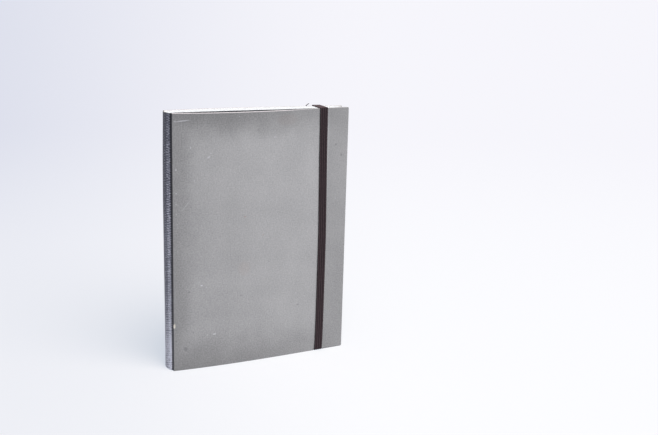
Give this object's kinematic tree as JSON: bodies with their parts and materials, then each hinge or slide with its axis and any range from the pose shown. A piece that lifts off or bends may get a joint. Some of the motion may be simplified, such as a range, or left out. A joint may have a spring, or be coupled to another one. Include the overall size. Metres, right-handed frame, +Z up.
{
  "type": "hardcover notebook",
  "caption": "Hard-cover notebook that stands on its tail: bowed grey board covers open on a rounded cloth spine, and an elastic band anchored in the back board holds it shut.",
  "frame": {"origin": "middle of the bottom of the closed notebook's box, on the surface it stands on", "axes": "+Z up from tail to head, +X from the spine to the fore-edge, +Y from the front cover to the back cover"},
  "size_m": [0.156, 0.0316, 0.2109],
  "materials": {
    "pages": "matte",
    "lining": "matte",
    "book_cloth": "matte",
    "grey_board": "matte",
    "endpaper": "matte",
    "elastic": "matte"
  },
  "bodies": {
    "book_block": {"text_block": "pages", "spine_lining": "lining", "spine_cloth": "book_cloth", "front_flyleaf": "endpaper", "back_flyleaf": "endpaper"},
    "front_cover": {"front_board": "grey_board", "front_hinge_cloth": "book_cloth", "front_pastedown": "endpaper"},
    "back_cover": {"back_board": "grey_board", "back_hinge_cloth": "book_cloth", "back_pastedown": "endpaper", "elastic_band": "elastic"}
  },
  "joints": [
    {"name": "front_cover_hinge", "type": "hinge", "parent": "book_block", "child": "front_cover", "pos_m": [-0.0756, -0.00709, 0.105], "axis": [0, 0, -1], "range_deg": [0, 180], "deforming": ["elastic_band"]},
    {"name": "back_cover_hinge", "type": "hinge", "parent": "book_block", "child": "back_cover", "pos_m": [-0.0756, 0.01201, 0.105], "axis": [0, 0, 1], "range_deg": [0, 180], "deforming": ["elastic_band"]}
  ]
}
